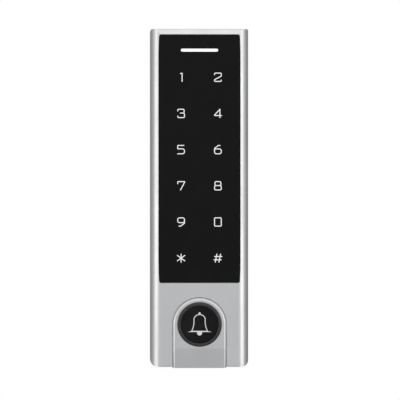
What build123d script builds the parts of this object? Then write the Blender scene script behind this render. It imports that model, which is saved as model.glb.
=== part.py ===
from build123d import *
import os
from math import cos, hypot, radians, sin

# Slim wall-mounted keypad access reader with a bell push button.
# Millimetres. +X is to the right, the front faces -Y and +Z is up. The wall is the plane Y = 0.
# The origin is on the wall, in the middle of the housing's width and height.
# Depths are Y values, so a piece runs from its front (more negative) to its back.

# ---------------------------------------------------------------- driving dimensions

case_width = 44.0
case_height = 151.6
case_depth = 24.0
long_edge_radius = 5.0
top_corner_radius = 0.8
bottom_corner_radius = 3.0
end_edge_radius = 0.35
brow_lean = 0.4
wall_gap = 0.3

panel_width = 36.7
panel_end_width = 36.0
panel_height = 111.3
panel_top_border = 2.65
panel_corner_radius = 0.9
panel_thickness = 2.2
panel_set_back = 0.2

key_column_offset = 8.26
key_pitch = 16.24
top_key_from_top = 21.7
key_rows = 6
legend_stroke = 0.41
legend_depth = 0.2

status_bar_width = 16.7
status_bar_height = 1.3
status_bar_from_top = 9.55

button_from_bottom = 19.0
bezel_diameter = 19.9
cap_diameter = 17.0
button_travel = 0.8
surround_radius = 12.0
surround_overhang = 0.6
surround_proud = 1.0
surround_edge_radius = 1.2
surround_lean = 0.6
surround_bend_radius = 15.0
surround_seam = 0.22

running_clearance = 0.05
screw_clearance = 0.02

# ---------------------------------------------------------------- derived levels

half_width = case_width / 2
top_z = case_height / 2
bottom_z = -case_height / 2
front_y = -case_depth

panel_front = front_y + panel_set_back
panel_back = panel_front + panel_thickness
panel_top_z = top_z - panel_top_border
panel_bottom_z = panel_top_z - panel_height

adhesive_thickness = 0.2
ledge_thickness = 1.2
ledge_front = panel_back + adhesive_thickness
ledge_back = ledge_front + ledge_thickness

board_thickness = 1.2
main_board_thickness = 1.6
touch_board_front = ledge_back
touch_board_back = touch_board_front + board_thickness
board_gap = 6.6
main_board_front = touch_board_back + board_gap
main_board_back = main_board_front + main_board_thickness

cover_front = -8.6
cover_thickness = 1.8
cover_back = cover_front + cover_thickness
gasket_thickness = 0.5
cover_ledge = cover_front - gasket_thickness

cavity_half_width = 18.9
cavity_top_z = 72.2
cavity_bottom_z = -71.7
cavity_radius = 2.0
ledge_width = 1.3
rear_half_width = cavity_half_width + ledge_width
rear_top_z = cavity_top_z + ledge_width - 0.1
rear_bottom_z = cavity_bottom_z - ledge_width

window_gap = 0.1
window_half_width = 16.0
window_top_z = 62.0
window_bottom_z = -36.0
window_radius = 2.0
status_slot_half_width = 10.0
status_slot_half_height = 2.1
status_slot_radius = 0.8

button_z = bottom_z + button_from_bottom
status_z = top_z - status_bar_from_top
key_z = [top_z - top_key_from_top - row * key_pitch for row in range(key_rows)]
key_x = [-key_column_offset, key_column_offset]
key_places = [(x, z) for z in key_z for x in key_x]
status_lamp_x = [-5.0, 0.0, 5.0]

# ---------------------------------------------------------------- push button levels

surround_front = front_y - surround_proud
surround_seat = front_y + 1.0
bezel_seat = surround_front + 0.9
bezel_seal_thickness = 0.3
bezel_flange_back = bezel_seat - bezel_seal_thickness
bezel_front = bezel_flange_back - 1.1
bezel_radius = bezel_diameter / 2
bezel_body_radius = 9.3
bezel_body_back = front_y + 3.0
barrel_radius = 8.0
button_wall_back = front_y + 3.4
nut_thickness = 2.4
nut_flat_radius = 10.2

cap_radius = cap_diameter / 2
cap_front = bezel_front + 0.2
cap_head_thickness = 1.6
cap_head_back = cap_front + cap_head_thickness
cap_recess_floor = cap_head_back + button_travel + running_clearance
skirt_radius = 7.0
skirt_wall = 1.2
barrel_wall_front = -17.5
barrel_back = -16.5
skirt_back = barrel_wall_front - button_travel - 0.2
stem_radius = 1.5
groove_radius = 1.1
clip_front = barrel_back + 0.05
clip_thickness = 0.5
switch_front = -14.4
plunger_length = 1.6
stem_end = switch_front - 0.9

# ---------------------------------------------------------------- fixing dimensions

board_boss_places = [(-14.0, 65.5), (14.0, 65.5), (-14.0, -42.0), (14.0, -42.0)]
board_boss_radius = 2.0
board_screw_radius = 0.8
board_screw_length = 6.0
cover_boss_places = [(-16.6, 70.0), (16.6, 70.0), (-16.6, -69.4), (16.6, -69.4)]
cover_boss_radius = 2.4
cover_screw_radius = 1.2
cover_screw_length = 7.5
screw_hole_spare = 0.5
button_room_half_width = 16.5
button_room_low_z = -70.5
button_room_top_z = -45.0
button_room_radius = 3.0

plate_thickness = 1.2
plate_half_width = 19.2
plate_top_z = 72.4
plate_bottom_z = -71.9
wall_hole_radius = 2.2
wall_hole_spacings = [60.0, 83.5]
cable_z = 15.0
cable_opening_width = 19.0
cable_opening_height = 13.0
hook_x = 9.0
hook_half_width = 3.5
hook_front = -3.2
hook_reach = 1.1
hook_room = 0.4
security_screw_y = -4.0
security_screw_radius = 1.5
security_head_radius = 2.6
security_head_low_z = bottom_z + 0.15
security_head_high_z = bottom_z + 1.6

wire_count = 8
wire_pitch = 1.3
wire_radius = 0.55
wire_x = [(index - (wire_count - 1) / 2) * wire_pitch for index in range(wire_count)]
wire_run_y = main_board_back + 1.1
wire_start_z = 27.0
wire_bend_radius = 1.0
tail_end_y = 12.0


# ---------------------------------------------------------------- helpers


def at_depth(y):
    """The upright plane at depth y: sketch x is X, sketch y is Z, and its normal faces the front."""
    return Plane.XZ.offset(-y)


def slab(sketch, front, back):
    """Extrude an upright sketch between two depths."""
    return extrude(at_depth(back) * sketch, amount=back - front)


def disc(radius, front, back, x=0.0, z=0.0):
    """A cylinder along Y."""
    return slab(Pos(x, z) * Circle(radius), front, back)


def ring(outer, inner, front, back, x=0.0, z=0.0):
    """A plain tube along Y."""
    return slab(Pos(x, z) * (Circle(outer) - Circle(inner)), front, back)


def upright_cylinder(radius, low_z, high_z):
    """A cylinder along Z on the security screw's line."""
    middle_z = (low_z + high_z) / 2
    return Pos(0, security_screw_y, middle_z) * Cylinder(radius, high_z - low_z)


def block(x, y, z):
    """A box from its low and high ends on each axis."""
    size = [high - low for low, high in (x, y, z)]
    middle = [(high + low) / 2 for low, high in (x, y, z)]
    return Pos(*middle) * Box(*size)


def upright(half_width_x, low_z, high_z, radius):
    """A rounded rectangle on the upright plane, centred on X = 0."""
    shape = RectangleRounded(2 * half_width_x, high_z - low_z, radius)
    return Pos(0, (high_z + low_z) / 2) * shape


def stadium(length, height):
    """A bar with round ends."""
    return SlotOverall(length, height)


def stroke(*points, radius=0.45):
    """A pen stroke of even width with round ends along a bent line."""
    if len(points) == 2:
        line = Line(*points)
    else:
        line = FilletPolyline(*points, radius=radius)
    return make_face(offset(line, amount=legend_stroke / 2).edges())


def box_stroke(low_x, low_z, high_x, high_z, radius):
    """A closed, round-cornered pen stroke: its centre line runs through the given corners."""
    outer = RectangleRounded(
        high_x - low_x + legend_stroke,
        high_z - low_z + legend_stroke,
        radius + legend_stroke / 2,
    )
    inner = RectangleRounded(
        high_x - low_x - legend_stroke,
        high_z - low_z - legend_stroke,
        radius - legend_stroke / 2,
    )
    return Pos((low_x + high_x) / 2, (low_z + high_z) / 2) * (outer - inner)


def group(solids):
    """Several separate solids of one kind in one node."""
    return Compound(children=list(solids))


# ---------------------------------------------------------------- legends

legend_half_width = 1.51
legend_half_height = 1.87


def digit_one():
    stem_x = 0.45
    return stroke(
        (stem_x - 0.75, legend_half_height - 0.25),
        (stem_x, legend_half_height),
        (stem_x, -legend_half_height),
        radius=0.15,
    )


def digit_two():
    w, h = legend_half_width, legend_half_height
    head = [(-w, 1.1), (-w, h), (w, h), (w, 0.5)]
    foot = [(-w, -1.1), (-w, -h), (w, -h), (w, -1.3)]
    return stroke(*head, *foot, radius=0.4)


def digit_three():
    w, h = legend_half_width, legend_half_height
    upper = stroke((-w, 1.15), (-w, h), (1.35, h), (1.35, 0.15), (-0.3, 0.15))
    lower = stroke((-0.3, 0.15), (w, 0.15), (w, -h), (-w, -h), (-w, -1.15))
    return upper + lower


def digit_four():
    h = legend_half_height
    post_x = 0.9
    bar_z = -0.95
    arm = stroke((post_x, h), (-1.5, bar_z + 0.25), (-1.5, bar_z), (1.6, bar_z), radius=0.1)
    return arm + stroke((post_x, h), (post_x, -h))


def digit_five():
    w, h = legend_half_width, legend_half_height
    waist_z = 0.35
    flag = stroke((1.25, h), (-w, h), (-w, waist_z), radius=0.15)
    bowl = stroke((-w, waist_z), (w, waist_z), (w, -h), (-w, -h), radius=0.95)
    return flag + bowl


def digit_six():
    w, h = legend_half_width, legend_half_height
    bowl = box_stroke(-w, -h, w, 0.3, 0.8)
    arm = stroke((0.95, h), (0.2, h), (-w, 0.55), (-w, -0.9), radius=0.5)
    return bowl + arm


def digit_seven():
    w, h = legend_half_width, legend_half_height
    return stroke((-w, 0.95), (-w, h), (w + 0.2, h), (-0.25, -h), radius=0.15)


def digit_eight():
    h = legend_half_height
    upper = box_stroke(-1.35, 0.1, 1.35, h, 0.6)
    lower = box_stroke(-1.5, -h, 1.5, 0.1, 0.6)
    return upper + lower


def digit_nine():
    return Rot(0, 0, 180) * digit_six()


def digit_zero():
    w, h = legend_half_width, legend_half_height
    return box_stroke(-w, -h, w, h, 0.45)


def star_sign():
    arms = Sketch()
    for angle, reach in ((90, 1.8), (36, 2.05), (-36, 2.05)):
        dx, dz = reach * cos(radians(angle)), reach * sin(radians(angle))
        arms += stroke((-dx, -dz), (dx, dz))
    return arms


def hash_sign():
    lean = 0.35
    bars = Sketch()
    for x in (-0.82, 0.82):
        bars += stroke((x - lean, -1.8), (x + lean, 1.8))
    for z in (-0.74, 0.74):
        shift = lean * z / 1.8
        bars += stroke((shift - 1.6, z), (shift + 1.6, z))
    return bars


legend_shapes = [
    digit_one(), digit_two(),
    digit_three(), digit_four(),
    digit_five(), digit_six(),
    digit_seven(), digit_eight(),
    digit_nine(), digit_zero(),
    star_sign(), hash_sign(),
]


def bell_outline():
    """The bell sign: knob, domed body drawn as a line, rim with pointed tips, and clapper."""
    line_width = 0.38
    shoulder_x, shoulder_z = 2.55, 2.4
    crown_z = 4.45
    waist_x, waist_z = 2.7, -0.6
    flare_x = 3.6
    rim_top_z = -3.05
    rim_low_z = -3.4
    tip_x = 5.4
    knob_radius = 0.5
    clapper_radius = 1.15
    clapper_z = rim_low_z - 0.4

    dome = make_face([
        ThreePointArc((-flare_x, rim_top_z), (-waist_x, waist_z), (-shoulder_x, shoulder_z)),
        ThreePointArc((-shoulder_x, shoulder_z), (0, crown_z), (shoulder_x, shoulder_z)),
        ThreePointArc((shoulder_x, shoulder_z), (waist_x, waist_z), (flare_x, rim_top_z)),
        Line((flare_x, rim_top_z), (-flare_x, rim_top_z)),
    ])
    body = offset(dome, line_width / 2) - offset(dome, -line_width / 2)
    rim = make_face(
        Polyline(
            (-tip_x, rim_low_z),
            (-flare_x, rim_top_z + 0.1),
            (flare_x, rim_top_z + 0.1),
            (tip_x, rim_low_z),
            close=True,
        )
    )
    knob = Pos(0, crown_z + knob_radius) * Circle(knob_radius)
    below_rim = Pos(0, rim_low_z - clapper_radius) * Rectangle(2 * clapper_radius, 2 * clapper_radius)
    clapper = Pos(0, clapper_z) * Circle(clapper_radius) & below_rim
    return body + rim + knob + clapper


# ---------------------------------------------------------------- housing


def panel_outline(grow=0.0):
    """The panel's outline: straight sides that draw in on a long, shallow arc at both ends."""
    middle_x = panel_width / 2 + grow
    end_x = panel_end_width / 2 + grow
    high, low = panel_top_z + grow, panel_bottom_z - grow
    draw_in = 11.0
    pull = middle_x - end_x
    arc_radius = (draw_in**2 + pull**2) / (2 * pull)
    sagitta = arc_radius - (arc_radius**2 - (draw_in / 2) ** 2) ** 0.5

    def end_arc(side, edge_z, inner_z):
        middle = (side * (middle_x - sagitta), (edge_z + inner_z) / 2)
        return ThreePointArc((side * middle_x, inner_z), middle, (side * end_x, edge_z))

    high_in, low_in = high - draw_in, low + draw_in
    edges = [
        end_arc(1, high, high_in),
        Line((end_x, high), (-end_x, high)),
        end_arc(-1, high, high_in),
        Line((-middle_x, high_in), (-middle_x, low_in)),
        end_arc(-1, low, low_in),
        Line((-end_x, low), (end_x, low)),
        end_arc(1, low, low_in),
        Line((middle_x, low_in), (middle_x, high_in)),
    ]
    face = make_face(edges)
    corners = face.vertices().filter_by(lambda v: min(abs(v.Y - high), abs(v.Y - low)) < 0.01)
    return fillet(corners, panel_corner_radius + grow)


def status_slot():
    """The opening in the ledge that lets the status lamps shine on the light bar."""
    width, height = 2 * status_slot_half_width, 2 * status_slot_half_height
    return Pos(0, status_z) * RectangleRounded(width, height, status_slot_radius)


def surround_outline(grow=0.0, low_z=bottom_z - surround_overhang):
    """The arch: half a circle round the button with straight sides down to the bottom end."""
    radius = surround_radius + grow
    sides = Pos(0, (button_z + low_z) / 2) * Rectangle(2 * radius, button_z - low_z)
    return Pos(0, button_z) * Circle(radius) + sides


def case_body():
    """The housing's outside: the shape shared by its section, its outline and its side view."""
    section = Pos(0, (front_y - wall_gap) / 2) * Rectangle(case_width, case_depth - wall_gap)
    section = fillet(section.vertices().group_by(Axis.Y)[0], long_edge_radius)
    body = extrude(Plane.XY.offset(bottom_z) * section, amount=case_height)

    outline = Rectangle(case_width, case_height)
    outline = fillet(outline.vertices().group_by(Axis.Y)[0], bottom_corner_radius)
    outline = fillet(outline.vertices().group_by(Axis.Y)[-1], top_corner_radius)

    side = make_face(
        Polyline(
            (0, bottom_z),
            (front_y, bottom_z),
            (front_y, panel_top_z + panel_set_back),
            (front_y + brow_lean, top_z),
            (0, top_z),
            close=True,
        )
    )
    front_ends = side.vertices().filter_by(lambda v: v.X < -1 and abs(abs(v.Y) - top_z) < 0.01)
    side = fillet(front_ends, end_edge_radius)
    return body & slab(outline, front_y, 0) & extrude(Plane.YZ * side, amount=half_width, both=True)


def front_housing():
    body = case_body()
    body -= slab(panel_outline(window_gap), front_y - 2, ledge_front)
    lip = Sketch() + [
        at_depth(panel_front) * panel_outline(window_gap),
        at_depth(front_y) * panel_outline(window_gap + panel_set_back),
    ]
    body -= loft(lip.faces())

    window = upright(window_half_width, window_bottom_z, window_top_z, window_radius)
    body -= slab(window + status_slot(), ledge_front - 1, ledge_back + 1)

    cavity = upright(cavity_half_width, cavity_bottom_z, cavity_top_z, cavity_radius)
    body -= slab(cavity, ledge_back, 0)
    rear = upright(rear_half_width, rear_bottom_z, rear_top_z, cavity_radius + ledge_width)
    body -= slab(rear, cover_ledge, 0)

    button_room = upright(button_room_half_width, button_room_low_z, button_room_top_z, button_room_radius)
    body -= slab(button_room, button_wall_back, ledge_back + 1)

    body -= slab(surround_outline(surround_seam, bottom_z - 2), front_y - 1, surround_seat)
    body -= disc(bezel_body_radius + running_clearance, front_y, ledge_back + 1, z=button_z)

    body += screw_bosses(board_boss_places, board_boss_radius, main_board_front)
    body += screw_bosses(cover_boss_places, cover_boss_radius, cover_ledge)
    board_hole_front = main_board_back - board_screw_length - screw_hole_spare
    cover_hole_front = cover_front - cover_screw_length - screw_hole_spare
    body -= screw_holes(board_boss_places, board_screw_radius, board_hole_front, main_board_front)
    body -= screw_holes(cover_boss_places, cover_screw_radius, cover_hole_front, cover_ledge)
    return body - hook_pockets() - security_screw_hole()


def screw_bosses(places, radius, back):
    """Posts that grow from the back of the front wall."""
    return [disc(radius, ledge_back - 0.2, back, x, z) for x, z in places]


def screw_holes(places, radius, front, back):
    return [disc(radius + screw_clearance, front, back, x, z) for x, z in places]


def hook_pockets():
    """Pockets in the top end wall that drop over the wall plate's hooks."""
    half_width = hook_half_width + hook_room
    depth = (hook_front - hook_room, hook_front + plate_thickness + hook_room)
    height = (rear_top_z - 0.5, rear_top_z + hook_reach + 0.3)
    return [block((x - half_width, x + half_width), depth, height) for x in (-hook_x, hook_x)]


def security_screw_hole():
    """A clear hole up through the bottom end wall, sunk for the screw's head."""
    hole = upright_cylinder(security_screw_radius + 0.15, bottom_z - 0.5, rear_bottom_z + 1)
    return hole + upright_cylinder(security_head_radius + 0.2, bottom_z - 0.5, security_head_high_z)


# ---------------------------------------------------------------- touch panel and its lighting


def touch_panel():
    panel = slab(panel_outline(), panel_front, panel_back)
    panel -= status_bar_face()
    for legend in legend_solids():
        panel -= legend
    return panel


def legend_solids():
    return [
        slab(Pos(x, z) * shape, panel_front, panel_front + legend_depth)
        for (x, z), shape in zip(key_places, legend_shapes)
    ]


def status_bar_face():
    return slab(Pos(0, status_z) * stadium(status_bar_width, status_bar_height), panel_front, panel_back)


board_air_gap = 0.1
part_gap = 0.2


def status_light_bar():
    """The white bar that shows in the panel, with a wider foot that sits in the ledge's opening."""
    width = 2 * (status_slot_half_width - 2 * part_gap)
    height = 2 * (status_slot_half_height - part_gap)
    foot = Pos(0, status_z) * RectangleRounded(width, height, status_slot_radius - part_gap / 2)
    return status_bar_face() + slab(foot, panel_back, touch_board_front - board_air_gap)


def panel_adhesive():
    edge_margin = 0.3
    window = upright(window_half_width, window_bottom_z, window_top_z, window_radius)
    return slab(panel_outline(-edge_margin) - window - status_slot(), panel_back, ledge_front)


def light_guide():
    """The milky sheet in the window that spreads the key lamps' light."""
    sheet = upright(
        window_half_width - part_gap,
        window_bottom_z + part_gap,
        window_top_z - part_gap,
        window_radius - part_gap,
    )
    return slab(sheet, panel_back, touch_board_front - board_air_gap)


lamp_places = key_places + [(x, status_z) for x in status_lamp_x]
lamp_hole_radius = 1.0
lamp_body_thickness = 0.8


def lamp(x, z):
    """A reverse-mounted lamp: its body is behind the board and its lens is in the board's hole."""
    body_shape = Pos(x, z) * RectangleRounded(3.2, 1.6, 0.2)
    body = slab(body_shape, touch_board_back, touch_board_back + lamp_body_thickness)
    lens_length = 0.8
    return body + disc(lamp_hole_radius - 0.15, touch_board_back - lens_length, touch_board_back, x, z)


def touch_pads():
    """Copper sensing pads, each open in the middle for its key's lamp."""
    pad_width, pad_height, pad_radius, pad_thickness = 11.5, 12.5, 2.0, 0.1
    pad = RectangleRounded(pad_width, pad_height, pad_radius) - Circle(lamp_hole_radius + 1.2)
    pad_front = touch_board_front - pad_thickness
    return group(slab(Pos(x, z) * pad, pad_front, touch_board_front) for x, z in key_places)


board_half_width = 17.5
board_corner_radius = 1.5
board_top_z = 67.3
touch_board_bottom_z = -44.6
main_board_bottom_z = -62.0
boss_hole_radius = board_boss_radius + 0.1


def touch_board():
    outline = upright(board_half_width, touch_board_bottom_z, board_top_z, board_corner_radius)
    for x, z in lamp_places:
        outline -= Pos(x, z) * Circle(lamp_hole_radius)
    for x, z in board_boss_places:
        outline -= Pos(x, z) * Circle(boss_hole_radius)
    return slab(outline, touch_board_front, touch_board_back)


def antenna_coil():
    """The card reader's coil: a flat wound loop round the upper keys."""
    width, height, corner = 31.8, 48.0, 2.5
    winding, thickness = 1.6, 0.6
    middle_z = 37.6
    loop = RectangleRounded(width, height, corner)
    loop -= RectangleRounded(width - 2 * winding, height - 2 * winding, corner - winding / 2)
    return slab(Pos(0, middle_z) * loop, touch_board_back, touch_board_back + thickness)


def board_spacer():
    """The frame that holds the two boards apart and presses the touch board to the housing."""
    side_wall, end_wall, bar_height = 1.4, 4.3, 1.6
    cross_bar_z = -19.0
    outer = upright(board_half_width, touch_board_bottom_z, board_top_z, board_corner_radius)
    low_z, high_z = touch_board_bottom_z + end_wall, board_top_z - end_wall
    inner = upright(board_half_width - side_wall, low_z, high_z, 1.0)
    cross_bar = Pos(0, cross_bar_z) * Rectangle(2 * (board_half_width - side_wall / 2), bar_height)
    frame = outer - inner + cross_bar
    for x, z in board_boss_places:
        frame -= Pos(x, z) * Circle(boss_hole_radius)
    body = slab(frame, touch_board_back, main_board_front)
    lamp_room = Pos(0, status_z) * Rectangle(16, 3)
    return body - slab(lamp_room, touch_board_back, touch_board_back + 2 * lamp_body_thickness)


# ---------------------------------------------------------------- electronics


def chip(place, width, height, thickness, pins, seat=main_board_front, facing=-1):
    """A chip with gull-wing legs on its two long sides. facing is -1 on a board's front, 1 on its back."""
    x, z = place
    stand_off, leg_reach = 0.1, 0.8
    top = seat + facing * thickness
    low, high = sorted((seat + facing * stand_off, top))
    body = slab(Pos(x, z) * Rectangle(width, height), low, high)
    body = chamfer(body.edges().filter_by_position(Axis.Y, top - 0.01, top + 0.01), 0.2)
    pitch = height / pins
    leg_depth = sorted((seat, seat + facing * thickness / 2))
    leg_span = (x - width / 2 - leg_reach, x + width / 2 + leg_reach)
    for index in range(pins):
        leg_z = z - height / 2 + pitch * (index + 0.5)
        body += block(leg_span, leg_depth, (leg_z - pitch / 4, leg_z + pitch / 4))
    return body


def on_main_board(place, shape, height, base=0.0):
    """Extrude a component's sketch forward from the main board's front, from base to height."""
    return slab(Pos(*place) * shape, main_board_front - height, main_board_front - base)


def touch_controller():
    return chip((0, 30), width=5.3, height=10.2, thickness=1.5, pins=10, seat=touch_board_back, facing=1)


def microcontroller():
    return chip((4.5, 18), width=7.0, height=7.0, thickness=1.4, pins=8)


def card_reader_chip():
    return chip((-8.5, 40), width=5.0, height=5.0, thickness=1.0, pins=8)


def memory_chip():
    return chip((-7.5, 22), width=3.9, height=4.9, thickness=1.6, pins=4)


def voltage_regulator():
    """A regulator with three legs and a wide cooling tab."""
    body = chip((9.0, -30), width=3.5, height=6.5, thickness=1.6, pins=3)
    return body + on_main_board((12.0, -30), Rectangle(2.0, 3.0), 0.4)


def crystal():
    """A flat metal can on an insulating foot."""
    place, foot = (4.5, 8.5), 0.6
    can = on_main_board(place, stadium(10.6, 4.0), 3.4, base=foot)
    return can + on_main_board(place, Rectangle(11.6, 4.8), foot)


def door_relay():
    body = on_main_board((-9, -6.5), RectangleRounded(10.0, 15.0, 0.4), 5.0)
    return chamfer(body.edges().group_by(Axis.Y)[0], 0.4)


def buzzer():
    """A round sounder with a hole in the middle of its lid."""
    place, height, hole_depth = (-8.5, 54), 4.4, 1.0
    body = on_main_board(place, Circle(4.6), height)
    body = fillet(body.edges().group_by(Axis.Y)[0], 0.3)
    return body - on_main_board(place, Circle(0.9), height + 1, base=height - hole_depth)


def power_capacitor():
    place, foot = (9.5, -14), 0.6
    can = on_main_board(place, Circle(3.1), 5.2, base=foot)
    can = fillet(can.edges().group_by(Axis.Y)[0], 0.4)
    return can + on_main_board(place, Rectangle(6.6, 6.6), foot)


def protection_diodes():
    places = [(-12.5, -27), (-8.5, -27), (-4.5, -27), (0.5, 54)]
    return group(on_main_board(place, Rectangle(2.6, 4.3), 2.1) for place in places)


def chip_resistors():
    """Small resistors in two upright files and three rows."""
    file_pitch, row_pitch = 2.2, 2.6
    places = [(12.5, 24 - file_pitch * index) for index in range(6)]
    places += [(-13.0, 34 - file_pitch * index) for index in range(4)]
    for first_x, z, count in ((3.0, 33, 4), (-1.5, -22, 4), (4.0, 62, 3)):
        places += [(first_x + row_pitch * index, z) for index in range(count)]
    return group(on_main_board(place, Rectangle(0.8, 1.6), 0.45) for place in places)


header_z = 46.5
header_pins = 8
header_pitch = 1.27
header_half_width = 6.5
header_half_height = 1.7
header_body_back = touch_board_back + 2.4
pin_half_width = 0.2
pin_end = main_board_front - 1.0


def header_bars(half_size, front, back):
    """One square bar for each pin of the board connector."""
    bars = []
    for index in range(header_pins):
        x = (index - (header_pins - 1) / 2) * header_pitch
        height = (header_z - half_size, header_z + half_size)
        bars.append(block((x - half_size, x + half_size), (front, back), height))
    return bars


def header_block(front, back):
    height = (header_z - header_half_height, header_z + header_half_height)
    return block((-header_half_width, header_half_width), (front, back), height)


def board_header():
    """The plug on the back of the touch board."""
    return header_block(touch_board_back, header_body_back) + header_bars(
        pin_half_width, touch_board_back, pin_end
    )


def board_socket():
    """The socket on the front of the main board that takes the header's pins."""
    return header_block(header_body_back, main_board_front) - header_bars(
        pin_half_width + 0.05, touch_board_back, pin_end + 0.1
    )


def main_board():
    outline = upright(board_half_width, main_board_bottom_z, board_top_z, board_corner_radius)
    for x, z in board_boss_places:
        outline -= Pos(x, z) * Circle(board_screw_radius + 0.3)
    return slab(outline, main_board_front, main_board_back)


def pan_screw(x, z, head_radius, head_height, shank_radius, shank_length, seat):
    """A cross-head screw driven from the back, with its head on the seat."""
    head = disc(head_radius, seat, seat + head_height, x, z)
    head = fillet(head.edges().group_by(Axis.Y)[-1], head_height * 0.45)
    cross_length = head_radius * 1.1
    cross_width = head_radius * 0.26
    cross = Rectangle(cross_length, cross_width) + Rectangle(cross_width, cross_length)
    head -= slab(Pos(x, z) * cross, seat + head_height * 0.45, seat + head_height + 1)
    return head + disc(shank_radius, seat - shank_length, seat, x, z)


def board_screws():
    return group(
        pan_screw(x, z, 1.8, 1.2, board_screw_radius, board_screw_length, main_board_back)
        for x, z in board_boss_places
    )


tamper_place = (10.0, 44.0)
tamper_window_radius = 2.0


def tamper_sensor():
    """A light sensor that sees daylight if the reader is taken off the wall."""
    return disc(2.1, main_board_back, main_board_back + 1.4, *tamper_place)


def tamper_window():
    """A clear plug in the back cover in front of the tamper sensor, with a flange inside."""
    plug = disc(tamper_window_radius, cover_front, cover_back, *tamper_place)
    return plug + disc(tamper_window_radius + 0.7, cover_front - 0.4, cover_front, *tamper_place)


# ---------------------------------------------------------------- push button


def button_surround():
    """The arched casting round the button: it stands proud, and folds under the bottom end."""
    low_z = bottom_z - surround_overhang
    top = button_z + surround_radius
    lean_z = button_z - bezel_radius - 1.0
    lean_front = surround_front + surround_lean
    return_back = -15.0
    side = make_face(
        Polyline(
            (surround_front, top),
            (surround_front, lean_z),
            (lean_front, low_z),
            (return_back, low_z),
            (return_back, bottom_z),
            (surround_seat, bottom_z),
            (surround_seat, top),
            close=True,
        )
    )
    bend = side.vertices().filter_by(lambda v: abs(v.Y - lean_z) < 0.01)
    side = fillet(bend, surround_bend_radius)
    body = extrude(Plane.YZ * side, amount=surround_radius, both=True)
    body &= slab(surround_outline(), surround_front - 1, 0)

    def is_front_edge(edge):
        middle = edge.center()
        from_axis = hypot(middle.X, max(middle.Z - button_z, 0))
        on_outline = abs(from_axis - surround_radius) < 0.01
        return on_outline and middle.Y < lean_front and middle.Z > low_z + 0.1

    body = fillet(body.edges().filter_by(is_front_edge), surround_edge_radius)
    body -= disc(bezel_radius + 0.1, surround_front - 1, bezel_seat, z=button_z)
    return body - disc(bezel_body_radius + running_clearance, surround_front - 1, 0, z=button_z)


def bezel_seal():
    return ring(bezel_radius - 0.05, bezel_body_radius + 0.1, bezel_flange_back, bezel_seat, z=button_z)


def button_bezel():
    body = disc(bezel_radius, bezel_front, bezel_flange_back, z=button_z)
    body = fillet(body.edges().group_by(Axis.Y)[0], 0.6)
    body += disc(bezel_body_radius, bezel_flange_back, bezel_body_back, z=button_z)
    body += disc(barrel_radius, bezel_body_back, barrel_back, z=button_z)
    body -= disc(cap_radius + running_clearance, bezel_front - 1, cap_recess_floor, z=button_z)
    body -= disc(skirt_radius + running_clearance, bezel_front, barrel_wall_front, z=button_z)
    return body - disc(stem_radius + running_clearance, bezel_front, 0, z=button_z)


def bezel_nut():
    """The thin hexagon nut, its corners turned down, that clamps the bezel to the housing."""
    corner_radius = nut_flat_radius + 1.0
    hexagon = RegularPolygon(nut_flat_radius, 6, major_radius=False, rotation=30)
    outline = (hexagon & Circle(corner_radius)) - Circle(barrel_radius + screw_clearance)
    return slab(Pos(0, button_z) * outline, button_wall_back, button_wall_back + nut_thickness)


seal_groove_y = -20.6
seal_groove_half_width = 0.45
seal_wire_radius = 0.4
seal_groove_radius = skirt_radius - 0.8


def button_cap():
    head = disc(cap_radius, cap_front, cap_head_back, z=button_z)
    head = fillet(head.edges().group_by(Axis.Y)[0], 0.35)
    skirt = ring(skirt_radius, skirt_radius - skirt_wall, cap_head_back, skirt_back, z=button_z)
    groove_ends = (seal_groove_y - seal_groove_half_width, seal_groove_y + seal_groove_half_width)
    skirt -= ring(skirt_radius + 1, seal_groove_radius, *groove_ends, z=button_z)
    stem = disc(stem_radius, cap_head_back, stem_end, z=button_z)
    clip_ends = (clip_front - screw_clearance, clip_front + clip_thickness + screw_clearance)
    stem -= ring(stem_radius + 1, groove_radius, *clip_ends, z=button_z)
    return head + skirt + stem - bell_symbol()


def bell_symbol():
    return slab(Pos(0, button_z) * bell_outline(), cap_front, cap_front + legend_depth)


def cap_seal():
    """The rubber ring in the skirt's groove. It runs lightly on the bezel's bore."""
    centre_radius = skirt_radius - seal_wire_radius + 0.02
    torus = Torus(centre_radius, seal_wire_radius)
    return Pos(0, seal_groove_y, button_z) * Rot(90, 0, 0) * torus


def button_spring():
    """A round-wire compression spring round the stem, from the cap's back to the bezel's rear wall."""
    wire_radius = 0.3
    coil_radius = 3.6
    turns = 5
    end_gap = 0.01
    length = barrel_wall_front - cap_head_back - 2 * (wire_radius + end_gap)
    path = Helix(pitch=length / turns, height=length, radius=coil_radius)
    section = Plane(origin=path @ 0, z_dir=path % 0) * Circle(wire_radius)
    coil = sweep(section, path=path)
    return Pos(0, barrel_wall_front - wire_radius - end_gap, button_z) * Rot(90, 0, 0) * coil


def retaining_clip():
    """The open clip in the stem's groove that keeps the cap in the bezel."""
    clip_radius, mouth = 3.0, 1.7
    plate = Circle(clip_radius) - Circle(groove_radius + screw_clearance)
    plate -= Pos(0, -clip_radius / 2) * Rectangle(mouth, clip_radius + 1)
    return slab(Pos(0, button_z) * plate, clip_front, clip_front + clip_thickness)


plunger_radius = 1.75


def push_switch():
    """The click switch on the main board: a square body on four legs, with a well for its plunger."""
    width, leg_x, leg_z = 6.2, 4.0, 2.25
    body = slab(Pos(0, button_z) * RectangleRounded(width, width, 0.4), switch_front, main_board_front)
    for x in (-leg_x, leg_x):
        for z in (button_z - leg_z, button_z + leg_z):
            body += on_main_board((x, z), Rectangle(2.0, 0.7), 0.3)
    well_floor = stem_end + plunger_length + button_travel + running_clearance
    return body - disc(plunger_radius + running_clearance, switch_front - 1, well_floor, z=button_z)


def switch_plunger():
    return disc(plunger_radius, stem_end, stem_end + plunger_length, z=button_z)


# ---------------------------------------------------------------- back, wiring and wall fixing


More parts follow.
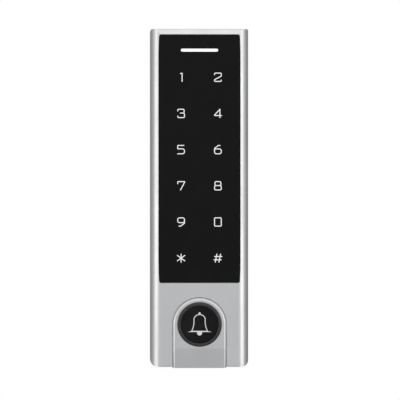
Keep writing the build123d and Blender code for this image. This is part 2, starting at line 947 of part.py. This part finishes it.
def cover_outline():
    """The outside of the back cover and its gasket."""
    return upright(
        rear_half_width - part_gap,
        rear_bottom_z + part_gap,
        rear_top_z - part_gap,
        cavity_radius + ledge_width,
    )


def back_cover():
    """A flat cover with two stiffening ribs on its back, above and below the cable outlet."""
    rib_width, rib_height = 1.2, 0.8
    outline = cover_outline() - grommet_outline(0) - Pos(*tamper_place) * Circle(tamper_window_radius)
    for x, z in cover_boss_places:
        outline -= Pos(x, z) * Circle(cover_screw_radius + 0.2)
    body = slab(outline, cover_front, cover_back)
    for low_z, high_z in ((-60, 2), (28, 40)):
        rib = Pos(0, (low_z + high_z) / 2) * Rectangle(rib_width, high_z - low_z)
        body += slab(rib, cover_back, cover_back + rib_height)
    return body


def back_cover_gasket():
    inner = upright(cavity_half_width, cavity_bottom_z, cavity_top_z, cavity_radius)
    return slab(cover_outline() - inner, cover_ledge, cover_front)


def cover_screws():
    shank_length = cover_screw_length + cover_thickness
    return group(
        pan_screw(x, z, 2.3, 1.5, cover_screw_radius, shank_length, cover_back)
        for x, z in cover_boss_places
    )


def grommet_outline(grow):
    width, height = 13.6, 4.0
    return Pos(0, cable_z) * stadium(width + 2 * grow, height + 2 * grow)


def cable_grommet():
    """The rubber block that seals the wires where they leave the back cover."""
    flange_width, flange_back = 0.9, cover_back + 0.7
    body = slab(grommet_outline(0), cover_front, flange_back)
    body += slab(grommet_outline(flange_width), cover_back, flange_back)
    for x in wire_x:
        body -= disc(wire_radius + screw_clearance, cover_front - 1, flange_back + 1, x, cable_z)
    return body


def wire_path(x):
    """From the board, down along its back, then round a bend and out through the wall plate."""
    bend_z = cable_z + wire_bend_radius
    bend = CenterArc((0, 0), wire_bend_radius, 180, 90)
    start = Line((wire_run_y, wire_start_z), (wire_run_y, bend_z))
    corner = Pos(wire_run_y + wire_bend_radius, bend_z) * bend
    end = Line((wire_run_y + wire_bend_radius, cable_z), (tail_end_y, cable_z))
    return Plane.YZ.offset(x) * (start + corner + end)


def lead_wires():
    wires = []
    for x in wire_x:
        path = wire_path(x)
        section = Plane((x, wire_run_y, wire_start_z), z_dir=(0, 0, -1)) * Circle(wire_radius)
        wires.append(sweep(section, path=path))
    return group(wires)


def wire_cores():
    """The bare, tinned ends of the leads."""
    core_radius, core_length = 0.32, 3.0
    return group(disc(core_radius, tail_end_y, tail_end_y + core_length, x, cable_z) for x in wire_x)


def solder_joints():
    half_width, height = 0.6, 1.8
    joints = []
    for x in wire_x:
        across = (x - half_width, x + half_width)
        blob = block(across, (main_board_back, wire_run_y), (wire_start_z, wire_start_z + height))
        joints.append(chamfer(blob.edges().group_by(Axis.Y)[-1], 0.3))
    return group(joints)


lug_half_width = 6.0
lug_front = security_screw_y - 2.5
lug_top_z = plate_bottom_z + plate_thickness
lug_collar_height = 1.8


def wall_plate():
    """Sheet-steel plate: hooks at the top, a threaded lug at the bottom, and holes on the centre line."""
    corner_radius = 2.0
    outline = upright(plate_half_width, plate_bottom_z, plate_top_z, corner_radius)
    outline -= Pos(0, cable_z) * RectangleRounded(cable_opening_width, cable_opening_height, corner_radius)
    for spacing in wall_hole_spacings:
        for z in (-spacing / 2, spacing / 2):
            outline -= Pos(0, z) * Circle(wall_hole_radius)
    body = slab(outline, -plate_thickness, 0)

    arm_low_z = plate_top_z - plate_thickness
    for x in (-hook_x, hook_x):
        side = (x - hook_half_width, x + hook_half_width)
        body += block(side, (hook_front, 0), (arm_low_z, plate_top_z))
        tip = (hook_front, hook_front + plate_thickness)
        body += block(side, tip, (plate_top_z - 0.5, rear_top_z + hook_reach))

    body += block((-lug_half_width, lug_half_width), (lug_front, 0), (plate_bottom_z, lug_top_z))
    body += upright_cylinder(2.3, lug_top_z, lug_top_z + lug_collar_height)
    thread_radius = security_screw_radius + screw_clearance
    return body - upright_cylinder(thread_radius, plate_bottom_z - 1, lug_top_z + lug_collar_height + 1)


def security_screw():
    """The pin-hex screw that goes up through the bottom end into the plate's lug."""
    socket_depth, socket_radius, pin_radius = 0.9, 1.0, 0.35
    head = upright_cylinder(security_head_radius, security_head_low_z, security_head_high_z)
    head = fillet(head.edges().group_by(Axis.Z)[0], 0.5)
    shank_top_z = lug_top_z + lug_collar_height + 0.6
    shank = upright_cylinder(security_screw_radius, security_head_high_z, shank_top_z)
    socket = RegularPolygon(socket_radius, 6) - Circle(pin_radius)
    well = extrude(Plane((0, security_screw_y, security_head_low_z)) * socket, amount=socket_depth)
    return head + shank - well


# ---------------------------------------------------------------- write every piece

pieces = {
    "front_housing": front_housing,
    "touch_panel": touch_panel,
    "key_legends": lambda: group(legend_solids()),
    "status_light_bar": status_light_bar,
    "panel_adhesive": panel_adhesive,
    "light_guide": light_guide,
    "touch_pads": touch_pads,
    "touch_board": touch_board,
    "key_lamps": lambda: group(lamp(x, z) for x, z in key_places),
    "status_lamps": lambda: group(lamp(x, status_z) for x in status_lamp_x),
    "antenna_coil": antenna_coil,
    "touch_controller": touch_controller,
    "board_spacer": board_spacer,
    "board_header": board_header,
    "board_socket": board_socket,
    "main_board": main_board,
    "microcontroller": microcontroller,
    "card_reader_chip": card_reader_chip,
    "memory_chip": memory_chip,
    "voltage_regulator": voltage_regulator,
    "crystal": crystal,
    "door_relay": door_relay,
    "buzzer": buzzer,
    "power_capacitor": power_capacitor,
    "protection_diodes": protection_diodes,
    "chip_resistors": chip_resistors,
    "board_screws": board_screws,
    "tamper_sensor": tamper_sensor,
    "tamper_window": tamper_window,
    "button_surround": button_surround,
    "bezel_seal": bezel_seal,
    "button_bezel": button_bezel,
    "bezel_nut": bezel_nut,
    "button_cap": button_cap,
    "bell_symbol": bell_symbol,
    "cap_seal": cap_seal,
    "button_spring": button_spring,
    "retaining_clip": retaining_clip,
    "push_switch": push_switch,
    "switch_plunger": switch_plunger,
    "back_cover": back_cover,
    "back_cover_gasket": back_cover_gasket,
    "cover_screws": cover_screws,
    "cable_grommet": cable_grommet,
    "lead_wires": lead_wires,
    "wire_cores": wire_cores,
    "solder_joints": solder_joints,
    "wall_plate": wall_plate,
    "security_screw": security_screw,
}

os.makedirs("parts", exist_ok=True)
for name, make in pieces.items():
    export_step(make(), f"parts/{name}.step")
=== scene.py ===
from math import cos, pi, radians, sin

import bpy
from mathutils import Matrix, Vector


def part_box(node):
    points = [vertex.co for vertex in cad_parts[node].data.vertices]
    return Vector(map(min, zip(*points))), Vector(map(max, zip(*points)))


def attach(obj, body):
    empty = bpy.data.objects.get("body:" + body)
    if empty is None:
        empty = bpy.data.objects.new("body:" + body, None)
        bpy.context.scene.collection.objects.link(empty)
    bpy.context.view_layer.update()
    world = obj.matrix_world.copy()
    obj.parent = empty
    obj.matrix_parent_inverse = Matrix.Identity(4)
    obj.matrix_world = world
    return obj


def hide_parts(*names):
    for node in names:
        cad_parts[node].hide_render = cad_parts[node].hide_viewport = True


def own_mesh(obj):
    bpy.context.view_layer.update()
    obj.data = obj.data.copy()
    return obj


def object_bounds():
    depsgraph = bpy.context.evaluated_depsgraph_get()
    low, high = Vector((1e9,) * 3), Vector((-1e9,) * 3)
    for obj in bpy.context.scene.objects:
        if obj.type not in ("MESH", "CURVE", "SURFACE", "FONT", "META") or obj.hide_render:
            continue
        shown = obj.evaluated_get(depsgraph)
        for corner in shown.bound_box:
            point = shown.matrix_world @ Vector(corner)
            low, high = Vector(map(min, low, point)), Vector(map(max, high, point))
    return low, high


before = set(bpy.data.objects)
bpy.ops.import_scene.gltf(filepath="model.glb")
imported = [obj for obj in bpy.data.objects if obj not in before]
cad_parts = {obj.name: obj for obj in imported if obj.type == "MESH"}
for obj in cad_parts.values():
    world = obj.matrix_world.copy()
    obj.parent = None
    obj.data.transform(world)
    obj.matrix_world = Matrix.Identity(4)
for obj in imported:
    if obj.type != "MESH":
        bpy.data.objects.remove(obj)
cad_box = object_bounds()

# The looks of a wall-mounted keypad reader. Lengths are in metres, in the frame's own axes:
# +X right, -Y out of the front, +Z up.

MM = 0.001


# ---------------------------------------------------------------- node helpers


class Nodes:
    """A small wrapper that adds and links nodes in one tree."""

    def __init__(self, tree):
        self.nodes = tree.nodes
        self.links = tree.links
        self.nodes.clear()

    def add(self, kind, **settings):
        """Add a node. Settings that start with in_ name an input, and the others set a property."""
        node = self.nodes.new(kind)
        for name, value in settings.items():
            if name.startswith("in_"):
                self.feed(node.inputs[self.input_key(node, name[3:])], value)
            else:
                setattr(node, name, value)
        return node

    @staticmethod
    def input_key(node, name):
        """An input by position, or by its label with underscores for spaces."""
        if name.isdigit():
            return int(name)
        wanted = name.replace("_", " ").lower()
        return next(key for key in node.inputs.keys() if key.lower() == wanted)

    def feed(self, socket, value):
        """Link an input to another node's output, or give it a plain value."""
        if isinstance(value, bpy.types.NodeSocket):
            self.links.new(value, socket)
        elif isinstance(value, (tuple, list)) and socket.type == "RGBA" and len(value) == 3:
            socket.default_value = (*value, 1.0)
        else:
            socket.default_value = value

    def ramp(self, value, low, high, to_low=0.0, to_high=1.0):
        """Map one range to another, clamped."""
        node = self.add(
            "ShaderNodeMapRange",
            in_value=value,
            in_from_min=low,
            in_from_max=high,
            in_to_min=to_low,
            in_to_max=to_high,
        )
        return node.outputs[0]

    def math(self, operation, first, second=0.0):
        """One step of arithmetic on two values."""
        return self.add("ShaderNodeMath", operation=operation, in_0=first, in_1=second).outputs[0]

    def mix(self, factor, first, second):
        """Mix two colours."""
        node = self.add("ShaderNodeMixRGB", in_fac=factor, in_color1=first, in_color2=second)
        return node.outputs[0]

    def blend(self, factor, first, second):
        """Mix the shaders of two nodes."""
        node = self.add("ShaderNodeMixShader", in_fac=factor)
        self.links.new(first.outputs[0], node.inputs[1])
        self.links.new(second.outputs[0], node.inputs[2])
        return node


class Shader(Nodes):
    """The nodes of one material, built round a principled surface."""

    def __init__(self, name):
        self.material = bpy.data.materials.new(name)
        self.material.use_nodes = True
        super().__init__(self.material.node_tree)
        self.output = self.nodes.new("ShaderNodeOutputMaterial")
        self.surface = self.nodes.new("ShaderNodeBsdfPrincipled")
        self.links.new(self.surface.outputs[0], self.output.inputs["Surface"])
        self.place = self.add("ShaderNodeTexCoord").outputs["Object"]

    def set(self, **inputs):
        """Set or link inputs of the surface shader."""
        for name, value in inputs.items():
            self.feed(self.surface.inputs[self.input_key(self.surface, name)], value)

    def noise(self, size, detail=3.0, stretch=(1, 1, 1), rough=0.55):
        """Noise whose features are about the given size in metres."""
        spread = self.add("ShaderNodeMapping", in_vector=self.place, in_scale=stretch)
        node = self.add(
            "ShaderNodeTexNoise",
            in_vector=spread.outputs[0],
            in_scale=1.0 / size,
            in_detail=detail,
            in_roughness=rough,
        )
        return node.outputs["Fac"]

    def cells(self, size):
        """Three random values for each cell, with cells of about the given size in metres."""
        node = self.add("ShaderNodeTexVoronoi", in_vector=self.place, in_scale=1.0 / size)
        return self.add("ShaderNodeSeparateColor", in_color=node.outputs["Color"]).outputs

    def edges(self, width):
        """One on outside edges within the given width, and zero on flat faces."""
        bevel = self.add("ShaderNodeBevel", samples=6, in_radius=width)
        geometry = self.add("ShaderNodeNewGeometry")
        turn = self.add(
            "ShaderNodeVectorMath",
            operation="DOT_PRODUCT",
            in_0=bevel.outputs[0],
            in_1=geometry.outputs["Normal"],
        )
        corner = self.ramp(turn.outputs["Value"], 0.995, 0.90)
        convex = self.ramp(geometry.outputs["Pointiness"], 0.47, 0.50)
        return self.math("MULTIPLY", corner, convex)

    def wear(self, width, patch_size, starts, ends, most=1.0):
        """Outside edges rubbed in patches, where the noise is between two levels."""
        patches = self.ramp(self.noise(patch_size, detail=5), starts, ends, 0.0, most)
        return self.math("MULTIPLY", self.edges(width), patches)

    def bump(self, *layers):
        """Stack bump layers on the surface's normal. Each is a height and its depth in metres."""
        normal = None
        for height, depth in layers:
            node = self.add("ShaderNodeBump", in_strength=1.0, in_distance=depth, in_height=height)
            if normal is not None:
                self.feed(node.inputs["Normal"], normal)
            normal = node.outputs[0]
        self.set(normal=normal)


def dress(material, *node_names):
    """Give CAD nodes a material."""
    for name in node_names:
        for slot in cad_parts[name].material_slots:
            slot.material = material


# ---------------------------------------------------------------- metals


def satin_silver(name, tone):
    """Silver powder finish on die-cast zinc: fine flakes with a painted glint, faint orange peel,
    rubbed edges.
    """
    shader = Shader(name)
    flake = shader.cells(0.16 * MM)
    peel = shader.noise(1.3 * MM, detail=2)
    cloud = shader.noise(26 * MM, detail=4)
    smear = shader.noise(9 * MM, detail=6, stretch=(1, 1, 0.35))
    worn = shader.wear(0.35 * MM, 3 * MM, 0.42, 0.62)

    darker = (tone * 0.98, tone * 0.98, tone * 0.98)
    lighter = (tone * 1.01, tone * 1.01, tone * 1.02)
    painted_glint = (tone * 1.3, tone * 1.3, tone * 1.3)
    bare = (0.80, 0.80, 0.79)
    base = shader.mix(shader.ramp(cloud, 0.3, 0.7), darker, lighter)
    # The flakes take up to a tenth of a lighter colour: a painted glint.
    base = shader.mix(shader.ramp(flake[0], 0.0, 1.0, 0.0, 0.10), base, painted_glint)
    base = shader.mix(shader.math("MULTIPLY", worn, 0.5), base, bare)
    rough = shader.ramp(smear, 0.35, 0.7, 0.345, 0.43)
    rough = shader.math("SUBTRACT", rough, shader.math("MULTIPLY", worn, 0.10))
    shader.set(base_color=base, metallic=0.92, roughness=rough, coat_weight=0.12, coat_roughness=0.35)
    shader.bump((peel, 0.006 * MM), (flake[1], 0.0025 * MM))
    return shader.material


def dark_metal():
    """Black-finished turned metal, fine-grained and a little cloudy, with a rubbed lip."""
    shader = Shader("dark_metal")
    worn = shader.wear(0.25 * MM, 2 * MM, 0.45, 0.65)
    cloud = shader.noise(3 * MM, detail=5)
    base = shader.mix(shader.ramp(cloud, 0.3, 0.7), (0.046, 0.044, 0.045), (0.060, 0.059, 0.061))
    base = shader.mix(shader.math("MULTIPLY", worn, 0.35), base, (0.28, 0.27, 0.27))
    shader.set(base_color=base, metallic=0.75, roughness=shader.ramp(cloud, 0.3, 0.7, 0.30, 0.38))
    shader.bump((shader.noise(0.12 * MM), 0.002 * MM))
    return shader.material


def sheet_steel():
    """Zinc-plated sheet: large soft spangles, rolling lines and scuffs."""
    shader = Shader("sheet_steel")
    spangle = shader.cells(5 * MM)
    rolled = shader.noise(0.5 * MM, detail=4, stretch=(1, 1, 0.04))
    scuff = shader.noise(6 * MM, detail=8)
    base = shader.mix(spangle[0], (0.52, 0.53, 0.54), (0.66, 0.67, 0.68))
    base = shader.mix(shader.ramp(scuff, 0.55, 0.75, 0, 0.5), base, (0.42, 0.42, 0.41))
    rough = shader.ramp(spangle[1], 0, 1, 0.28, 0.42)
    rough = shader.math("ADD", rough, shader.ramp(rolled, 0.3, 0.7, -0.04, 0.05))
    shader.set(base_color=base, metallic=1.0, roughness=rough)
    shader.bump((rolled, 0.004 * MM), (scuff, 0.01 * MM))
    return shader.material


def bright_metal(name, colour, roughness, grain_size=0.3 * MM):
    """Plain plated or bright metal with a fine grain and darker handling marks."""
    shader = Shader(name)
    grain = shader.noise(grain_size, detail=4)
    mark = shader.noise(4 * MM, detail=6)
    shade = tuple(channel * 0.8 for channel in colour)
    shader.set(
        base_color=shader.mix(shader.ramp(mark, 0.4, 0.7), colour, shade),
        metallic=1.0,
        roughness=shader.ramp(grain, 0.3, 0.7, roughness - 0.05, roughness + 0.08),
    )
    shader.bump((grain, 0.002 * MM))
    return shader.material


# ---------------------------------------------------------------- plastics, glass and rubber


def black_panel():
    """Polished black panel with faint finger smears and dust-fine waviness."""
    shader = Shader("black_panel")
    smear = shader.noise(7 * MM, detail=7, rough=0.65)
    wave = shader.noise(14 * MM, detail=1)
    rough = shader.ramp(smear, 0.45, 0.75, 0.05, 0.16)
    clean = (0.0048, 0.0048, 0.0046)
    smeared = (0.0062, 0.0062, 0.0061)
    base = shader.mix(shader.ramp(smear, 0.4, 0.8), clean, smeared)
    shader.set(base_color=base, roughness=rough, ior=1.49, specular_ior_level=0.10)
    shader.bump((wave, 0.004 * MM))
    return shader.material


def moulded(name, colour, roughness, depth=0.006 * MM, wear=0.2, shine=0.5):
    """Moulded plastic: fine spark texture, soft colour drift and lighter rubbed edges."""
    shader = Shader(name)
    grain = shader.noise(0.25 * MM, detail=3)
    drift = shader.noise(9 * MM, detail=5)
    rubbed = shader.wear(0.2 * MM, 1.6 * MM, 0.42, 0.66, wear)
    lighter = tuple(min(1.0, channel * 1.25 + 0.004) for channel in colour)
    pale = tuple(min(1.0, channel * 2.2 + 0.05) for channel in colour)
    base = shader.mix(shader.ramp(drift, 0.35, 0.7), colour, lighter)
    shader.set(
        base_color=shader.mix(rubbed, base, pale),
        roughness=shader.ramp(drift, 0.3, 0.7, roughness - 0.04, roughness + 0.06),
        specular_ior_level=shine,
    )
    shader.bump((grain, depth))
    return shader.material


def lit(name, colour, glow):
    """Translucent plastic lit from behind, a little uneven."""
    shader = Shader(name)
    drift = shader.noise(1.5 * MM, detail=2)
    unlit = tuple(channel * 0.2 for channel in colour)
    shader.set(
        base_color=unlit,
        roughness=0.35,
        emission_color=colour,
        emission_strength=shader.ramp(drift, 0.3, 0.7, glow * 0.94, glow),
    )
    shader.bump((shader.noise(0.2 * MM), 0.002 * MM))
    return shader.material


def rubber():
    """Black rubber or foam: matt, with a dusty bloom."""
    shader = Shader("rubber")
    bloom = shader.noise(2.5 * MM, detail=6)
    clean = (0.018, 0.018, 0.018)
    dusty = (0.040, 0.039, 0.038)
    shader.set(
        base_color=shader.mix(shader.ramp(bloom, 0.4, 0.75), clean, dusty),
        roughness=shader.ramp(bloom, 0.3, 0.7, 0.62, 0.78),
        sheen_weight=0.15,
    )
    shader.bump((shader.noise(0.15 * MM), 0.004 * MM))
    return shader.material


def circuit_board():
    """Green solder resist with the woven cloth and buried tracks showing faintly through."""
    shader = Shader("circuit_board")
    cloth = {"in_vector": shader.place, "in_scale": 900.0}
    across = shader.add("ShaderNodeTexWave", bands_direction="X", **cloth).outputs["Fac"]
    along = shader.add("ShaderNodeTexWave", bands_direction="Z", **cloth).outputs["Fac"]
    weave = shader.math("MULTIPLY", across, along)
    tracks = {"in_vector": shader.place, "in_scale": 260.0, "in_mortar_size": 0.035}
    track = shader.add("ShaderNodeTexBrick", **tracks).outputs["Fac"]

    deep_green = (0.010, 0.115, 0.050)
    thread_green = (0.018, 0.17, 0.075)
    track_green = (0.03, 0.24, 0.10)
    base = shader.mix(shader.ramp(weave, 0, 1, 0, 0.25), deep_green, thread_green)
    base = shader.mix(shader.ramp(track, 0, 1, 0, 0.45), base, track_green)
    shader.set(base_color=base, roughness=0.28, coat_weight=0.4, coat_roughness=0.15)
    shader.bump((track, 0.02 * MM), (weave, 0.003 * MM))
    return shader.material


def insulation(name, colour):
    """Flexible wire insulation with a waxy sheen, a little dust and faint draw marks."""
    shader = Shader(name)
    dust = shader.noise(1.2 * MM, detail=5)
    drawn = shader.noise(0.3 * MM, stretch=(1, 0.2, 1))
    dusty = (0.35, 0.34, 0.32)
    shader.set(
        base_color=shader.mix(shader.ramp(dust, 0.5, 0.8, 0, 0.25), colour, dusty),
        roughness=shader.ramp(dust, 0.3, 0.7, 0.36, 0.48),
    )
    shader.bump((drawn, 0.003 * MM))
    return shader.material


# ---------------------------------------------------------------- give every node its finish

dress(satin_silver("satin_silver", tone=0.60), "front_housing")
# Painted shade: the surround gets a slightly darker copy of the housing's silver, so that it reads
# darker than the housing.
dress(satin_silver("surround_silver_shaded", tone=0.58), "button_surround")
dress(black_panel(), "touch_panel")
dress(lit("key_light", (1.0, 1.0, 0.99), 0.70), "key_legends")
dress(lit("bell_light", (1.0, 1.0, 1.0), 0.46), "bell_symbol")
dress(lit("status_light", (1.0, 1.0, 1.0), 0.98), "status_light_bar")
dress(dark_metal(), "button_bezel")
dress(
    moulded("cap_plastic", (0.0050, 0.0050, 0.0056), 0.30, wear=0.05, depth=0.002 * MM, shine=0.12),
    "button_cap",
)
dress(rubber(), "bezel_seal", "cap_seal", "back_cover_gasket", "cable_grommet", "panel_adhesive")
dress(moulded("cover_plastic", (0.020, 0.020, 0.021), 0.5), "back_cover")
dress(moulded("spacer_plastic", (0.03, 0.03, 0.032), 0.5), "board_spacer")
dress(sheet_steel(), "wall_plate")
dress(bright_metal("stainless", (0.62, 0.62, 0.61), 0.27), "security_screw", "retaining_clip")
dress(bright_metal("spring_steel", (0.50, 0.50, 0.52), 0.22), "button_spring")
dress(bright_metal("zinc_plate", (0.60, 0.60, 0.56), 0.33), "board_screws", "cover_screws")
dress(bright_metal("nickel_brass", (0.66, 0.62, 0.52), 0.3), "bezel_nut")
dress(bright_metal("copper", (0.72, 0.40, 0.26), 0.34), "touch_pads", "antenna_coil")
dress(bright_metal("solder", (0.66, 0.65, 0.62), 0.36, 0.1 * MM), "solder_joints")
dress(bright_metal("drawn_can", (0.68, 0.68, 0.69), 0.25), "crystal", "power_capacitor")
dress(circuit_board(), "touch_board", "main_board")
dress(
    moulded("chip_epoxy", (0.018, 0.018, 0.018), 0.55, depth=0.004 * MM),
    "touch_controller", "microcontroller", "card_reader_chip", "memory_chip",
    "voltage_regulator", "protection_diodes", "chip_resistors",
)
dress(moulded("relay_case", (0.012, 0.012, 0.013), 0.35), "door_relay", "buzzer", "push_switch")
dress(
    moulded("connector_plastic", (0.03, 0.03, 0.03), 0.4),
    "board_header", "board_socket", "switch_plunger",
)
dress(moulded("milky_acrylic", (0.72, 0.73, 0.74), 0.3, wear=0.0), "light_guide")
dress(moulded("clear_plug", (0.42, 0.44, 0.45), 0.12, wear=0.0), "tamper_window")
dress(moulded("sensor_face", (0.42, 0.22, 0.10), 0.3), "tamper_sensor")
dress(lit("lamp", (1.0, 0.96, 0.85), 0.6), "key_lamps", "status_lamps")


# ---------------------------------------------------------------- return spring


def return_spring():
    """A copy of the button's spring, on the reader's body, in place of the CAD spring."""
    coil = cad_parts["button_spring"].copy()
    coil.data = coil.data.copy()
    coil.name = "return_spring"
    bpy.context.collection.objects.link(coil)
    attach(coil, "reader")
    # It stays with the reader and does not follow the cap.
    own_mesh(coil)
    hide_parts("button_spring")


return_spring()


# ---------------------------------------------------------------- flexible leads

lead_radius = 0.55 * MM
lead_pitch = 1.3 * MM
lead_bend_radius = 1.0 * MM
lead_spread = 0.35 * MM
lead_droop = 5.0 * MM
lead_droop_swing = 2.0 * MM
lead_swing_angle = 2.1
free_from_y = -0.5 * MM
bend_steps = 6
hanging_steps = 12
core_radius = 0.32 * MM
core_length = 2.8 * MM
lead_colours = {
    "red": (0.45, 0.02, 0.02),
    "black": (0.012, 0.012, 0.012),
    "green": (0.02, 0.20, 0.05),
    "white": (0.62, 0.62, 0.60),
    "yellow": (0.60, 0.42, 0.02),
    "blue": (0.02, 0.07, 0.35),
    "brown": (0.14, 0.06, 0.02),
    "grey": (0.28, 0.28, 0.29),
}


def lead_path(index):
    """One lead: down the board's back, round its bend, through the wall plate and hanging freely."""
    low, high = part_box("lead_wires")
    from_middle = index - (len(lead_colours) - 1) / 2
    x = (low[0] + high[0]) / 2 + from_middle * lead_pitch
    run_y = low[1] + lead_radius
    cable_z = low[2] + lead_radius
    path = [Vector((x, run_y, high[2]))]
    for step in range(bend_steps + 1):
        turn = radians(90 * step / bend_steps)
        back = lead_bend_radius * (1 - cos(turn))
        up = lead_bend_radius * (1 - sin(turn))
        path.append(Vector((x, run_y + back, cable_z + up)))
    # Each lead droops by its own amount, so that they don't hang in one plane.
    droop = lead_droop + lead_droop_swing * sin(lead_swing_angle * index)
    for step in range(hanging_steps + 1):
        part = step / hanging_steps
        bow = part * part
        y = free_from_y + part * (high[1] - free_from_y)
        path.append(Vector((x + from_middle * lead_spread * bow, y, cable_z - droop * bow)))
    return path


def bare_end(path):
    """The stripped length that goes on from a lead's end."""
    onward = (path[-1] - path[-2]).normalized()
    return [path[-1], path[-1] + onward * core_length]


def tubes(name, paths, radius, materials):
    """One mesh of round tubes along the paths, with the materials in turn."""
    curve = bpy.data.curves.new(name, "CURVE")
    curve.dimensions = "3D"
    curve.bevel_depth = radius
    curve.bevel_resolution = 4
    curve.use_fill_caps = True
    for material in materials:
        curve.materials.append(material)
    for index, path in enumerate(paths):
        spline = curve.splines.new("POLY")
        spline.points.add(len(path) - 1)
        for point, place in zip(spline.points, path):
            point.co = (*place, 1.0)
        spline.material_index = index % len(materials)
        spline.use_smooth = True
    drawn = bpy.data.objects.new(name, curve)
    bpy.context.collection.objects.link(drawn)
    mesh = bpy.data.meshes.new_from_object(drawn)
    bpy.data.objects.remove(drawn)
    piece = bpy.data.objects.new(name, mesh)
    bpy.context.collection.objects.link(piece)
    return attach(piece, "reader")


lead_paths = [lead_path(index) for index in range(len(lead_colours))]
lead_finishes = [insulation(f"{name}_insulation", colour) for name, colour in lead_colours.items()]
leads = tubes("flexible_leads", lead_paths, lead_radius, lead_finishes)
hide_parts("lead_wires")

bare_ends = [bare_end(path) for path in lead_paths]
tinned = bright_metal("tinned_wire", (0.66, 0.63, 0.58), 0.36, 0.1 * MM)
cores = tubes("tinned_ends", bare_ends, core_radius, [tinned])
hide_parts("wire_cores")


# ---------------------------------------------------------------- studio

floor_size = 40.0
floor_gap = 0.05 * MM
floor_open_share = 0.75
# Blender's own unit for a camera's sensor and lens is the millimetre.
camera_sensor = 36.0


def look_at(thing, target):
    """Turn a light or a camera towards a point."""
    direction = Vector(target) - thing.location
    thing.rotation_euler = direction.to_track_quat("-Z", "Y").to_euler()


def seen_from(azimuth, elevation, distance, target=(0, 0, 0)):
    """A place at angles from the object's front. Azimuth is positive to the right."""
    flat = distance * cos(radians(elevation))
    right = flat * sin(radians(azimuth))
    out = flat * cos(radians(azimuth))
    up = distance * sin(radians(elevation))
    return Vector(target) + Vector((right, -out, up))


def soft_box(name, azimuth, elevation, distance, width, height, brightness):
    """A soft rectangular light. Its power follows from its size and from how bright it is to look."""
    light = bpy.data.lights.new(name, "AREA")
    light.shape = "RECTANGLE"
    light.size = width
    light.size_y = height
    light.energy = brightness * pi * width * height
    lamp = bpy.data.objects.new(name, light)
    bpy.context.collection.objects.link(lamp)
    lamp.location = seen_from(azimuth, elevation, distance)
    look_at(lamp, (0, 0, 0))


def pale_floor(z):
    """A pale floor that stays white to the camera, with a faint painted contact shadow where the object
    touches it.
    To the light it is mostly open, so that the object is lit evenly from top to bottom."""
    bpy.ops.mesh.primitive_plane_add(size=floor_size, location=(0, 0, z))
    floor = bpy.context.active_object
    floor.name = "floor"
    shader = Shader("floor_paint")
    contact = shader.add("ShaderNodeAmbientOcclusion", samples=8, in_distance=2.5 * MM)
    camera_ray = shader.add("ShaderNodeLightPath").outputs["Is Camera Ray"]
    painted_contact_shadow = (0.93, 0.93, 0.935)
    white = (1.0, 1.0, 1.0)
    # A painted contact shadow: ambient occlusion darkens the white that the camera sees.
    shade = shader.mix(shader.ramp(contact.outputs["AO"], 0.2, 1.0), painted_contact_shadow, white)
    shown = shader.add("ShaderNodeEmission", in_color=shade, in_strength=1.0)
    speckle = shader.mix(shader.noise(3 * MM), (0.40, 0.40, 0.40), (0.44, 0.44, 0.44))
    shader.set(base_color=speckle, roughness=0.8)
    gap = shader.add("ShaderNodeBsdfTransparent")
    bounce = shader.blend(floor_open_share, shader.surface, gap)
    finish = shader.blend(camera_ray, bounce, shown)
    shader.links.new(finish.outputs[0], shader.output.inputs["Surface"])
    floor.data.materials.append(shader.material)


def white_room(front, back, rise, lean):
    """A white surround for the camera. What the object reflects is brighter at the front than at the
    back, brighter upwards by rise, and brighter to the left by lean."""
    world = bpy.data.worlds.new("room")
    world.use_nodes = True
    bpy.context.scene.world = world
    room = Nodes(world.node_tree)
    direction = room.add("ShaderNodeTexCoord").outputs["Generated"]
    axes = room.add("ShaderNodeSeparateXYZ", in_vector=direction).outputs
    level = room.ramp(axes["Y"], -0.2, 0.4, front, back)
    level = room.math("ADD", level, room.ramp(axes["Z"], -0.5, 0.5, -0.5 * rise, 0.5 * rise))
    level = room.math("SUBTRACT", level, room.math("MULTIPLY", axes["X"], lean))
    lighting = room.add("ShaderNodeBackground", in_color=(0.98, 0.99, 1.0), in_strength=level)
    shown = room.add("ShaderNodeBackground", in_color=(1.0, 1.0, 1.0), in_strength=1.0)
    camera_ray = room.add("ShaderNodeLightPath").outputs["Is Camera Ray"]
    output = room.add("ShaderNodeOutputWorld")
    finish = room.blend(camera_ray, lighting, shown)
    room.links.new(finish.outputs[0], output.inputs["Surface"])


def long_lens_camera(azimuth, elevation, distance, target, frame_width):
    """A camera aimed at the target, whose picture is frame_width wide at the target's distance."""
    data = bpy.data.cameras.new("camera")
    data.sensor_width = camera_sensor
    data.lens = camera_sensor * distance / frame_width
    camera = bpy.data.objects.new("camera", data)
    bpy.context.collection.objects.link(camera)
    camera.location = seen_from(azimuth, elevation, distance, target)
    look_at(camera, target)
    bpy.context.scene.camera = camera


pale_floor(cad_box[0][2] - floor_gap)
white_room(front=0.745, back=0.29, rise=0.55, lean=0.06)
soft_box("right_strip", azimuth=51, elevation=-1, distance=0.9, width=0.48, height=0.42, brightness=2.0)
soft_box("left_strip", azimuth=-56, elevation=-4, distance=0.9, width=0.48, height=0.42, brightness=1.8)
soft_box("front_top", azimuth=10, elevation=26, distance=1.0, width=1.2, height=0.35, brightness=0.8)

front_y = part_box("front_housing")[0][1]
aim = (0.22 * MM, front_y, -1.0 * MM)
long_lens_camera(azimuth=-1.3, elevation=0.0, distance=2.0, target=aim, frame_width=179.5 * MM)

bpy.context.scene.view_settings.view_transform = "Standard"
